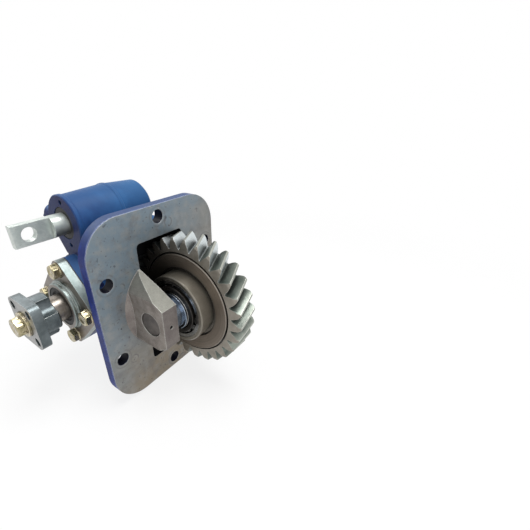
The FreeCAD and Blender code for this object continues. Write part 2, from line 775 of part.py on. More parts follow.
cover_boss = turned("cover_boss", [
    (cover_left - boss_length, 0),
    (cover_left - boss_length, boss_step_radius - 0.8),
    (cover_left - boss_length + 0.8, boss_step_radius),
    (cover_left - boss_length + 3, boss_step_radius),
    (cover_left - boss_length + 3.6, boss_radius - 0.6),
    (cover_left - boss_length + 4.2, boss_radius),
    (cover_left + 0.5, boss_radius),
    (cover_left + 0.5, 0),
], output_y, output_z)
cover_spigot = turned("cover_spigot", [
    (cover_right - 0.5, 0),
    (cover_right - 0.5, left_bearing_radius - 0.02),
    (case_left + 2, left_bearing_radius - 0.02),
    (case_left + 2, 0),
], output_y, output_z)
cover_hollow = turned("cover_hollow", [
    (cover_left - boss_length - 1, 0),
    (cover_left - boss_length - 1, seal_radius + 0.01),
    (cover_left + 3, seal_radius + 0.01),
    (cover_left + 3, seal_seat_radius + 1),
    (cover_right - 2, seal_seat_radius + 1),
    (cover_right - 2, left_bearing_radius - 6),
    (case_left + 3, left_bearing_radius - 6),
    (case_left + 3, 0),
], output_y, output_z)
cover_solid = fuse("cover_solid", [cover_plate, cover_boss, cover_spigot])
finish(cut("cover", cover_solid, [cover_hollow] + cover_bolt_holes), "output_cover")
finish(group("bolts", bolts), "cover_bolts")
finish(turned("seal", [
    (cover_left - boss_length + 0.6, seal_radius - 0.5),
    (cover_left - boss_length + 0.6, seal_seat_radius + 3),
    (cover_left - boss_length + 2.2, seal_seat_radius + 2),
    (cover_left - boss_length + 2.2, seal_seat_radius + 0.02),
    (cover_left - boss_length + 4.6, seal_seat_radius + 0.02),
    (cover_left + 1.6, seal_seat_radius + 2.5),
    (cover_left + 1.6, seal_radius),
    (cover_left - boss_length + 1.1, seal_radius),
], output_y, output_z), "oil_seal")

# Output shaft with its sliding splines
left_bearing_at = case_left + 2.4
right_bearing_at = window_half_width + 0.2
shaft_turning = turned("shaft_turning", [
    (coupling_face + 1.5, 0),
    (coupling_face + 1.5, coupling_seat_radius - 1),
    (coupling_face + 2.5, coupling_seat_radius),
    (coupling_back + 0.5, coupling_seat_radius),
    (coupling_back + 0.5, seal_seat_radius),
    (left_bearing_at - 1.2, seal_seat_radius),
    (left_bearing_at - 1.2, shaft_radius),
    (window_half_width - 0.4, shaft_radius),
    (window_half_width - 0.4, right_seat_radius),
    (right_bearing_at + ball_bearing_width - 1, right_seat_radius),
    (right_bearing_at + ball_bearing_width, right_seat_radius - 1),
    (right_bearing_at + ball_bearing_width, 0),
], output_y, output_z)
spline_left = left_bearing_at + ball_bearing_width + 0.3
spline_right = gear_left - 0.3
teeth_blocks = []
slot_blocks = []
for n in range(3):
    for made, half, reach, first, last, tag in (
            (teeth_blocks, spline_half_width, spline_tip, spline_left, spline_right, "spline"),
            (slot_blocks, spline_half_width + 0.1, spline_tip + 0.1, gear_left - 60, gear_left + 10, "slot")):
        bar = doc.addObject("Part::Box", "%s_%d" % (tag, n + 1))
        bind(bar, "Length", last - first)
        bind(bar, "Width", half * 2.0)
        bind(bar, "Height", reach * 2.0)
        turn = FreeCAD.Rotation(FreeCAD.Vector(1, 0, 0), 60.0 * n)
        corner = turn.multVec(FreeCAD.Vector(0, -half.value, -reach.value))
        bar.Placement = FreeCAD.Placement(
            FreeCAD.Vector(first.value, output_y.value + corner.y, output_z.value + corner.z), turn)
        bar.setExpression("Placement.Base.x", first.text)
        made.append(bar)
spline_sleeve = rod("spline_sleeve", spline_tip, spline_right - spline_left, spline_left, output_y, output_z)
spline_teeth = common("spline_teeth", fuse("spline_bars", teeth_blocks), spline_sleeve)
end_thread = rod("end_thread", end_bolt_radius + 0.03, end_bolt_length + 2, coupling_face - 2,
                 output_y, output_z)
finish(cut("output_shaft_body", fuse("shaft_with_splines", [shaft_turning, spline_teeth]), [end_thread]),
       "output_shaft")

# Coupling flange at the end of the output shaft
coupling_plate = slab("coupling_plate", "YZ_Plane", [
    (output_y - coupling_half, output_z - coupling_half),
    (output_y + coupling_half, output_z - coupling_half),
    (output_y + coupling_half, output_z + coupling_half),
    (output_y - coupling_half, output_z + coupling_half),
], coupling_face, coupling_depth, coupling_corner)
coupling_hub_solid = turned("coupling_hub_solid", [
    (coupling_face + 2, 0),
    (coupling_face + 2, coupling_hub),
    (coupling_back - 1.5, coupling_hub),
    (coupling_back, coupling_hub - 1.5),
    (coupling_back, 0),
], output_y, output_z)
coupling_tools = [turned("coupling_bore", [
    (coupling_face - 1, 0),
    (coupling_face - 1, coupling_seat_radius + 1.3),
    (coupling_face, coupling_seat_radius + 1.3),
    (coupling_face + 1.2, coupling_seat_radius + 0.02),
    (coupling_back + 1, coupling_seat_radius + 0.02),
    (coupling_back + 1, 0),
], output_y, output_z)]
for n, (a, b) in enumerate(((-1, 1), (1, 1), (1, -1), (-1, -1))):
    coupling_tools.append(rod("coupling_flute_%d" % (n + 1), flute_radius, coupling_back - coupling_face,
                              coupling_face + coupling_depth, output_y + flute_centre * a,
                              output_z + flute_centre * b))
    coupling_tools.append(rod("coupling_hole_%d" % (n + 1), coupling_hole, coupling_depth + 4, coupling_face - 2,
                              output_y + coupling_hole_half * a, output_z + coupling_hole_half * b))
finish(cut("coupling", fuse("coupling_solid", [coupling_plate, coupling_hub_solid]), coupling_tools),
       "coupling_flange")
finish(turned("end_washer", [
    (coupling_face - end_washer_depth, end_bolt_radius + 0.3),
    (coupling_face - end_washer_depth, end_washer_radius - 0.5),
    (coupling_face - end_washer_depth + 0.5, end_washer_radius),
    (coupling_face, end_washer_radius),
    (coupling_face, end_bolt_radius + 0.3),
], output_y, output_z), "end_washer")
end_head_at = coupling_face - end_washer_depth - end_bolt_head
finish(fuse("end_bolt", [
    rod("end_bolt_shank", end_bolt_radius, end_bolt_head + end_bolt_length, end_head_at + 1, output_y, output_z),
    rod("end_bolt_collar", end_bolt_flats * 0.56, 0.8, coupling_face - end_washer_depth - 0.8, output_y, output_z),
    hexagon("end_bolt_head_hex", end_bolt_flats, end_bolt_head, end_head_at, output_y, output_z),
]), "end_bolt")

# Ball bearings of the output shaft
outers = []
inners = []
balls = []
for n, (start, bore, outside) in enumerate((
        (left_bearing_at, shaft_radius, left_bearing_radius),
        (right_bearing_at, right_seat_radius, right_bearing_radius))):
    middle = start + ball_bearing_width / 2.0
    ball_circle = (bore + outside) / 2.0
    ball_size = (outside - bore) * ball_share
    shoulder = ball_size * 0.76
    groove_half = ball_size * 0.68
    outers.append(turned("outer_ring_%d" % (n + 1), [
        (start, ball_circle + shoulder),
        (middle - groove_half, ball_circle + shoulder),
        (middle - groove_half, ball_circle + ball_size + 0.05),
        (middle + groove_half, ball_circle + ball_size + 0.05),
        (middle + groove_half, ball_circle + shoulder),
        (start + ball_bearing_width, ball_circle + shoulder),
        (start + ball_bearing_width, outside - 0.02),
        (start, outside - 0.02),
    ], output_y, output_z))
    inners.append(turned("inner_ring_%d" % (n + 1), [
        (start, bore + 0.01),
        (start + ball_bearing_width, bore + 0.01),
        (start + ball_bearing_width, ball_circle - shoulder),
        (middle + groove_half, ball_circle - shoulder),
        (middle + groove_half, ball_circle - ball_size - 0.05),
        (middle - groove_half, ball_circle - ball_size - 0.05),
        (middle - groove_half, ball_circle - shoulder),
        (start, ball_circle - shoulder),
    ], output_y, output_z))
    for k in range(9):
        angle = 2.0 * pi * k / 9.0
        ball = doc.addObject("Part::Sphere", "ball_%d_%d" % (n + 1, k + 1))
        bind(ball, "Radius", ball_size)
        place(ball, middle, output_y + ball_circle * math.cos(angle), output_z + ball_circle * math.sin(angle))
        balls.append(ball)
finish(group("outer_rings", outers), "bearing_outer_rings")
finish(group("inner_rings", inners), "bearing_inner_rings")
finish(group("balls", balls), "bearing_balls")

# Pinion with its bush and face dogs
pinion_solid = toothed("pinion_teeth_body", pinion_teeth, pinion_pitch.value, pinion_dedendum.value,
                       pinion_first, 1.0, output_y, output_z)
dog_left = gear_left - dog_length


def dogs(name, inner, outer, start, length, first, span):
    """Six face dogs, as sectors of a ring."""
    ring = turned(name + "_ring", [
        (start, inner), (start, outer), (start + length, outer), (start + length, inner)], output_y, output_z)
    wedges = []
    for k in range(6):
        middle = first + 60.0 * k
        reach = number(outer) * 1.5
        a = math.radians(middle - span / 2.0)
        b = math.radians(middle + span / 2.0)
        flat = Part.makePolygon([
            FreeCAD.Vector(0, 0, 0),
            FreeCAD.Vector(0, reach * math.cos(a), reach * math.sin(a)),
            FreeCAD.Vector(0, reach * math.cos(b), reach * math.sin(b)),
            FreeCAD.Vector(0, 0, 0)])
        wedge = doc.addObject("Part::Feature", "%s_wedge_%d" % (name, k + 1))
        wedge.Shape = Part.Face(flat).extrude(FreeCAD.Vector(number(length) + 4, 0, 0))
        place(wedge, start - 2, output_y, output_z)
        wedges.append(wedge)
    return common(name, ring, fuse(name + "_wedges", wedges))


pinion_dogs = dogs("pinion_dogs", dog_inner, dog_outer, dog_left, dog_length + 0.5, 0.0, 27.0)
pinion_collar_radius = pinion_pitch - pinion_dedendum - 0.2
pinion_collar = turned("pinion_collar", [
    (gear_left, bush_radius - 1),
    (gear_left, pinion_collar_radius),
    (gear_right + 1.5, pinion_collar_radius),
    (gear_right + 1.5, bush_radius - 1),
], output_y, output_z)
pinion_hole = rod("pinion_hole", bush_radius, gear_width + 20, gear_left - 10, output_y, output_z)
finish(cut("pinion", fuse("pinion_with_dogs", [pinion_solid, pinion_dogs, pinion_collar]), [pinion_hole]),
       "driven_gear")
finish(turned("bush", [
    (gear_left + 0.2, shaft_radius + fit_gap),
    (gear_left + 0.2, bush_radius - 0.01),
    (gear_right + 1.3, bush_radius - 0.01),
    (gear_right + 1.3, shaft_radius + fit_gap),
], output_y, output_z), "gear_bush")
finish(turned("side_washer", [
    (gear_right + 1.5 + side_gap, shaft_radius + fit_gap),
    (gear_right + 1.5 + side_gap, pinion_collar_radius),
    (window_half_width - 0.5, pinion_collar_radius),
    (window_half_width - 0.5, shaft_radius + fit_gap),
], output_y, output_z), "side_washer")

# Clutch sleeve
sleeve_right = dog_left - side_gap
sleeve_left = sleeve_right - sleeve_length
groove_left = sleeve_left + (sleeve_length - fork_width) / 2.0 - side_gap
groove_right = groove_left + fork_width + side_gap * 2.0
sleeve_turning = turned("sleeve_turning", [
    (sleeve_left, shaft_radius - 2),
    (sleeve_left, sleeve_radius - 1),
    (sleeve_left + 1, sleeve_radius),
    (groove_left, sleeve_radius),
    (groove_left, sleeve_groove_radius),
    (groove_right, sleeve_groove_radius),
    (groove_right, sleeve_radius),
    (sleeve_right, sleeve_radius),
    (sleeve_right, shaft_radius - 2),
], output_y, output_z)
sleeve_dogs = dogs("sleeve_dogs", dog_inner, dog_outer, sleeve_right - 0.5, dog_length + 0.5,
                   30.0, 27.0)
sleeve_bore = rod("sleeve_bore", shaft_radius + fit_gap, sleeve_length + 20, sleeve_left - 10, output_y, output_z)
finish(cut("sleeve", fuse("sleeve_solid", [sleeve_turning, sleeve_dogs]), [sleeve_bore] + slot_blocks),
       "clutch_sleeve")

# Shift rod, fork and its pin
fork_left = groove_left + side_gap
fork_middle = fork_left + fork_width / 2.0
rod_turning = turned("rod_turning", [
    (rod_left, 0),
    (rod_left, rod_radius),
    (rod_right - 1.5, rod_radius),
    (rod_right, rod_radius - 1.5),
    (rod_right, 0),
], rod_y, rod_z)
front_flat = block("front_flat", rod_left - 1, tang_right, rod_y - rod_radius - 2, rod_y - tang_half,
                   rod_z - rod_radius - 2, rod_z + rod_radius + 2)
back_flat = block("back_flat", rod_left - 1, tang_right, rod_y + tang_half, rod_y + rod_radius + 2,
                  rod_z - rod_radius - 2, rod_z + rod_radius + 2)
tang_bore = rod("tang_bore", tang_hole, rod_radius * 2.0 + 8, rod_left + tang_hole_in, rod_y - rod_radius - 4,
                rod_z, "Y")
ball_y = rod_y + rod_radius + 1.6
detents = [rod("detent_way", detent_ball_radius + fit_gap, shift_travel, detent_x, ball_y, rod_z)]
for n, shift in enumerate((0, shift_travel)):
    notch = doc.addObject("Part::Sphere", "detent_notch_%d" % (n + 1))
    bind(notch, "Radius", detent_ball_radius + 0.35)
    place(notch, detent_x + shift, ball_y, rod_z)
    detents.append(notch)
pin_way = rod("pin_way", fork_pin_radius + 0.02, rod_radius * 4.0, fork_middle, rod_y,
              rod_z - rod_radius * 2.0, "Z")
finish(cut("shift_rod_body", rod_turning, [front_flat, back_flat, tang_bore, pin_way] + detents), "shift_rod")
fork_hub = rod("fork_hub", rod_radius + 5, fork_width * 3.0, fork_middle - fork_width * 1.5, rod_y, rod_z)
arm_half = 9
fork_arm = block("fork_arm", fork_left, fork_left + fork_width, rod_y - arm_half, rod_y + arm_half,
                 output_z + sleeve_groove_radius + 1, rod_z - rod_radius)
fork_ring = turned("fork_ring", [
    (fork_left, sleeve_groove_radius + side_gap),
    (fork_left, sleeve_radius + 5),
    (fork_left + fork_width, sleeve_radius + 5),
    (fork_left + fork_width, sleeve_groove_radius + side_gap),
], output_y, output_z)
fork_reach = sleeve_radius + 10
fork_half = block("fork_half", fork_left - 2, fork_left + fork_width + 2, output_y - fork_reach,
                  output_y + fork_reach, output_z - 6, output_z + fork_reach)
fork_jaw = common("fork_jaw", fork_ring, fork_half)
fork_bore = rod("fork_bore", rod_radius + 0.02, fork_width * 4.0, fork_middle - fork_width * 2.0, rod_y, rod_z)
fork_pin_bore = rod("fork_pin_bore", fork_pin_radius + 0.02, rod_radius * 4.0, fork_middle, rod_y,
                    rod_z - rod_radius * 2.0, "Z")
finish(cut("fork", fuse("fork_solid", [fork_hub, fork_arm, fork_jaw]), [fork_bore, fork_pin_bore]), "shift_fork")
finish(rod("fork_pin", fork_pin_radius, rod_radius * 2.94, fork_middle, rod_y, rod_z - rod_radius * 1.47, "Z"),
       "fork_pin")

# Rod seal, end cap and detent
finish(turned("rod_seal", [
    (tank_left + 0.4, rod_radius + 0.03),
    (tank_left + 0.4, rod_seal_radius - 0.6),
    (tank_left + 1, rod_seal_radius - 0.01),
    (tank_left + rod_seal_length - 0.2, rod_seal_radius - 0.01),
    (tank_left + rod_seal_length - 0.2, rod_radius + 0.03),
], rod_y, rod_z), "rod_seal")
finish(turned("end_cap", [
    (tank_right - 7, 0),
    (tank_right - 7, rod_radius + 1.48),
    (tank_right, rod_radius + 1.48),
    (tank_right, cap_radius),
    (tank_right + cap_length - 2.5, cap_radius - 0.4),
    (tank_right + cap_length, cap_radius - 3),
    (tank_right + cap_length, 0),
], rod_y, rod_z), "shift_end_cap")
detent_ball = doc.addObject("Part::Sphere", "detent_sphere")
bind(detent_ball, "Radius", detent_ball_radius)
place(detent_ball, detent_x, ball_y, rod_z)
finish(detent_ball, "detent_ball")
coil = doc.addObject("Part::Helix", "detent_coil")
coil.Pitch = 1.8
bind(coil, "Height", detent_boss_end - plug_length - ball_y - detent_ball_radius - 1.4)
coil.Radius = 3.0
place(coil, detent_x, ball_y + detent_ball_radius + 0.7, rod_z, "Y")
wire = doc.addObject("Part::Circle", "detent_wire")
wire.Radius = 0.5
wire.Placement = FreeCAD.Placement(
    FreeCAD.Vector(detent_x.value + 3.0, ball_y.value + detent_ball_radius.value + 0.7, rod_z.value),
    FreeCAD.Rotation())
wire.setExpression("Placement.Base.x", (detent_x + 3).text)
wire.setExpression("Placement.Base.y", (ball_y + detent_ball_radius + 0.7).text)
wire.setExpression("Placement.Base.z", rod_z.text)
spring = doc.addObject("Part::Sweep", "detent_spring")
spring.Sections = [wire]
spring.Spine = (coil, ["Edge1"])
spring.Solid = True
spring.Frenet = True
finish(spring, "detent_spring")
plug_shank = rod("plug_shank", plug_radius - 0.02, plug_length + 0.4, detent_x, detent_boss_end - plug_length + 0.2,
                 rod_z, "Y")
plug_head = hexagon("plug_head", plug_flats, 5.2, detent_x, detent_boss_end, rod_z, "Y")
finish(fuse("detent_plug", [plug_shank, plug_head]), "detent_plug")
finish(turned("core_plug", [
    (right_bearing_at + ball_bearing_width + 0.5, 0),
    (right_bearing_at + ball_bearing_width + 0.5, right_bearing_radius - 0.02),
    (case_right - 0.8, right_bearing_radius - 0.02),
    (case_right - 0.8, right_bearing_radius - 2),
    (case_right - 2.2, right_bearing_radius - 3.5),
    (case_right - 2.2, 0),
], output_y, output_z), "core_plug")

doc.recompute()

faults = []
for thing in doc.Objects:
    if "Invalid" in thing.State or "Error" in thing.State:
        faults.append("%s is not valid" % thing.Name)
for thing in finished:
    if thing.Shape.isNull() or not thing.Shape.isValid():
        faults.append("%s has no sound shape" % thing.Label)
if faults:
    raise RuntimeError("; ".join(faults))
for thing in finished:
    thing.Shape.exportStep("parts/%s.step" % thing.Label)
    print(thing.Label, len(thing.Shape.Solids), round(thing.Shape.Volume, 1))
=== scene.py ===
"""Looks of the power take off unit.

A finish for every piece, bolts with turned heads, lights, floor and camera.
"""

import json
import math

import bpy
import numpy as np
from mathutils import Matrix, Vector


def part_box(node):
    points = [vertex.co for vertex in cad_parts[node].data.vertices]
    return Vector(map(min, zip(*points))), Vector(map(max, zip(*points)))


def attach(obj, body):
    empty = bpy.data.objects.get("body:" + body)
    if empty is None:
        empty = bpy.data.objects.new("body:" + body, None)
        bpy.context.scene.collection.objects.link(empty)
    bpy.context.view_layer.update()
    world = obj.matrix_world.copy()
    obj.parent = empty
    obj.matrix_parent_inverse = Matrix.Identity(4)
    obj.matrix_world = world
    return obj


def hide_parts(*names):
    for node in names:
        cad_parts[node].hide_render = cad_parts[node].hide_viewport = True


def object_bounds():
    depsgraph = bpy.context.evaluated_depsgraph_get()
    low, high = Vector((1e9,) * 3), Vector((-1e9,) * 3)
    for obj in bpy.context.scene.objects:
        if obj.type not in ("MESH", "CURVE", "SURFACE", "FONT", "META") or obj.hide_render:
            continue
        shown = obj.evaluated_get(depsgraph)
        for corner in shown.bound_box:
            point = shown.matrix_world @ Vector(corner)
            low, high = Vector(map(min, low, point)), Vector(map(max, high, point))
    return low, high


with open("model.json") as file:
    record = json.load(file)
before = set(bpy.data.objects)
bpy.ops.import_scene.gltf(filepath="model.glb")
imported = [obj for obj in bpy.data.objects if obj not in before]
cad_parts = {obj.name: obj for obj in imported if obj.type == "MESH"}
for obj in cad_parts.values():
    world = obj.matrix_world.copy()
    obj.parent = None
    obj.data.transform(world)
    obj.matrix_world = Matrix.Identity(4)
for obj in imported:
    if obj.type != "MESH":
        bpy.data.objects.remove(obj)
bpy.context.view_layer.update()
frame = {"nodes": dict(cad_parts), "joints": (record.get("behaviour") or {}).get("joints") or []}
nodes = frame["nodes"]

# Blender counts in metres. Sizes on the pieces are given in millimetres.
MM = 0.001
TAU = 2.0 * math.pi
SHADER_SAMPLES = 6

# Axes of the turned pieces, as (y, z)
joint_place = {joint["name"]: joint.get("pos_m") for joint in frame["joints"]}
WHEEL_AXIS = (joint_place["input_spin"][1] / MM, joint_place["input_spin"][2] / MM)
OUTPUT_AXIS = (joint_place["output_spin"][1] / MM, joint_place["output_spin"][2] / MM)
ROD_AXIS = (68.6, 77.3)

# Rod: x where the flat tang passes into the round neck
TANG_RIGHT = -63.5

# Gears: radii of tips and roots, and of the raised web on the wheel's left side
WHEEL_TIP, WHEEL_ROOT = 66.19, 55.6
WHEEL_WEB = (37.0, 51.0)
PINION_TIP, PINION_ROOT = 30.88, 21.08

# Casting: the milled face lies at y = 0, with the ears in front of it and the case behind
FACE_SKIN = 0.2
WALL_START = 0.3
FLANGE_BACK = 11.3
CASE_START = 12.0
RIM_X, RIM_Z = 60.0, 79.0
WINDOW_HALF_X, WINDOW_HALF_Z = 27.7, 64.4
INSIDE_DEPTH = 43.0

# Holes of the flange as (x, z), and the radius and depth that take in their walls
FLANGE_HOLES = [(61.9, 39.7), (61.9, -39.7), (-61.9, 39.7), (-61.9, -39.7), (0.0, 82.55), (0.0, -82.55)]
HOLE_RADIUS = 7.4
HOLE_END = 10.7
WASHER_MARK_RADIUS = 9.0
STAIN_RADIUS = 4.2


def srgb(tone):
    """Colour from 0-255 display values to the linear values that a shader takes."""
    value = np.array(tone, float) / 255.0
    linear = np.where(value <= 0.04045, value / 12.92, ((value + 0.055) / 1.055) ** 2.4)
    return (*[float(v) for v in linear], 1.0)


def lighter(tone, amount):
    return [min(255, part + amount) for part in tone]


def darker(tone, factor):
    return [part * factor for part in tone]


def distance(across, up):
    return (across * across + up * up) ** 0.5


# ---------------------------------------------------------------- shader sums

class Value:
    """A shader socket. Sums and comparisons on it add Math nodes."""

    def __init__(self, finish, socket):
        self.finish = finish
        self.socket = socket

    def math(self, operation, other, swapped=False):
        first, second = (other, self) if swapped else (self, other)
        return self.finish.node("ShaderNodeMath", {"operation": operation}, {0: first, 1: second})

    def __add__(self, other):
        return self.math("ADD", other)

    __radd__ = __add__

    def __sub__(self, other):
        return self.math("SUBTRACT", other)

    def __rsub__(self, other):
        return self.math("SUBTRACT", other, True)

    def __mul__(self, other):
        return self.math("MULTIPLY", other)

    __rmul__ = __mul__

    def __truediv__(self, other):
        return self.math("DIVIDE", other)

    def __pow__(self, other):
        return self.math("POWER", other)

    def __lt__(self, other):
        return self.math("LESS_THAN", other)

    def __gt__(self, other):
        return self.math("GREATER_THAN", other)

    def __abs__(self):
        return self.math("ABSOLUTE", 0.0)

    def most(self, other):
        return self.math("MAXIMUM", other)

    def step(self, low, high):
        """0 below low, 1 above high, and a smooth rise between."""
        return self.finish.node("ShaderNodeMapRange", {"interpolation_type": "SMOOTHSTEP"},
                                {"Value": self, "From Min": low, "From Max": high})


class Finish:
    """A material or world in the making."""

    def __init__(self, block):
        self.block = block
        block.use_nodes = True
        self.tree = block.node_tree
        self.tree.nodes.clear()

    def feed(self, socket, value):
        """Links a shader value to a socket, or sets a plain value on it."""
        if isinstance(value, Value):
            self.tree.links.new(value.socket, socket)
        else:
            socket.default_value = value

    def node(self, kind, settings=None, sockets=None, out=0):
        """Adds a node: its settings first, then the values or links of its sockets."""
        made = self.tree.nodes.new(kind)
        for name, setting in (settings or {}).items():
            if name == "stops":
                ramp = made.color_ramp
                while len(ramp.elements) < len(setting):
                    ramp.elements.new(0.5)
                for element, (position, colour) in zip(ramp.elements, setting):
                    element.position = position
                    element.color = colour
            else:
                setattr(made, name, setting)
        for name, value in (sockets or {}).items():
            self.feed(made.inputs[name], value)
        return Value(self, made.outputs[out]) if made.outputs else None

    def split(self, vector):
        """The three parts of a vector."""
        parts = self.node("ShaderNodeSeparateXYZ", None, {0: vector}).socket.node
        return [Value(self, parts.outputs[i]) for i in range(3)]

    def mix(self, amount, first, second):
        """Colour that goes from first to second as amount goes from 0 to 1."""
        return self.node("ShaderNodeMix", {"data_type": "RGBA"}, {0: amount, 6: first, 7: second}, 2)

    def tones(self, amount, first, second):
        """As mix, between two display colours."""
        return self.mix(amount, srgb(first), srgb(second))

    def layers(self, colour, *coats):
        """Colour with each coat, (amount, display colour), laid over it in turn."""
        for amount, tone in coats:
            colour = self.mix(amount, colour, srgb(tone))
        return colour

    def noise(self, where, scale, detail=3.0, rough=0.55):
        return self.node("ShaderNodeTexNoise", None,
                         {"Vector": where, "Scale": scale, "Detail": detail, "Roughness": rough})

    def seen(self):
        """1 on rays from the camera, its reflections and what passes through, 0 on the rays that light things."""
        seen = self.node("ShaderNodeLightPath", out="Is Camera Ray")
        for other in ("Is Glossy Ray", "Is Transmission Ray"):
            seen = seen.most(self.node("ShaderNodeLightPath", out=other))
        return seen


class Surface(Finish):
    """A finish on a Principled shader, with the place, facing and edges of the piece."""

    def __init__(self, name):
        super().__init__(bpy.data.materials.new(name))
        objects = self.node("ShaderNodeTexCoord", out="Object")
        self.place = self.node("ShaderNodeVectorMath", {"operation": "MULTIPLY"},
                               {0: objects, 1: (1 / MM, 1 / MM, 1 / MM)})
        self.x, self.y, self.z = self.split(self.place)
        facing = self.node("ShaderNodeTexCoord", out="Normal")
        self.across, self.inward, self.upward = self.split(facing)
        self.shader = self.node("ShaderNodeBsdfPrincipled")
        self.node("ShaderNodeOutputMaterial", None, {"Surface": self.shader})

    def radius(self, axis):
        """Distance from a line along X."""
        return distance(self.y - axis[0], self.z - axis[1])

    def stretched(self, x, y, z):
        """Place on the piece, stretched by a factor along each axis."""
        return self.node("ShaderNodeVectorMath", {"operation": "MULTIPLY"}, {0: self.place, 1: (x, y, z)})

    def turning(self, ring, along, out):
        """Noise in rings, with its scale along the axis and out from it."""
        where = self.node("ShaderNodeCombineXYZ", None, {0: self.x * along, 1: ring * out})
        return self.noise(where, 1.0, 2.0, 0.5)

    def crevice(self, reach):
        """0 in the open and towards 1 in corners closer than reach; the finishes use it to paint shade into
        corners.
        """
        open_part = self.node("ShaderNodeAmbientOcclusion", {"samples": SHADER_SAMPLES},
                              {"Distance": reach * MM}, "AO")
        return 1.0 - open_part

    def bevel(self, reach):
        """Normal of the piece with its edges rounded over reach."""
        return self.node("ShaderNodeBevel", {"samples": SHADER_SAMPLES}, {"Radius": reach * MM})

    def edge(self, reach):
        """Towards 1 on sharp edges, where the rounded normal leaves the true one; the finishes lighten these
        edges, partly as wear, partly as painted highlight.
        """
        true = self.node("ShaderNodeNewGeometry", out="True Normal")
        along = self.node("ShaderNodeVectorMath", {"operation": "DOT_PRODUCT"},
                          {0: self.bevel(reach), 1: true}, "Value")
        return (1.0 - along).step(0.03, 0.2)

    def set(self, colour, roughness, metallic, height, depth, rounding, gloss=0.5):
        """Feeds the shader. height is in units of depth; rounding softens the edges by that radius."""
        normal = self.node("ShaderNodeBump", None, {"Height": height, "Strength": 1.0, "Distance": depth * MM,
                                                    "Normal": self.bevel(rounding)})
        inputs = self.shader.socket.node.inputs
        for name, value in (("Base Color", colour), ("Roughness", roughness), ("Metallic", metallic),
                            ("Specular IOR Level", gloss), ("Normal", normal)):
            self.feed(inputs[name], value)
        return self.block


# ---------------------------------------------------------------- finishes

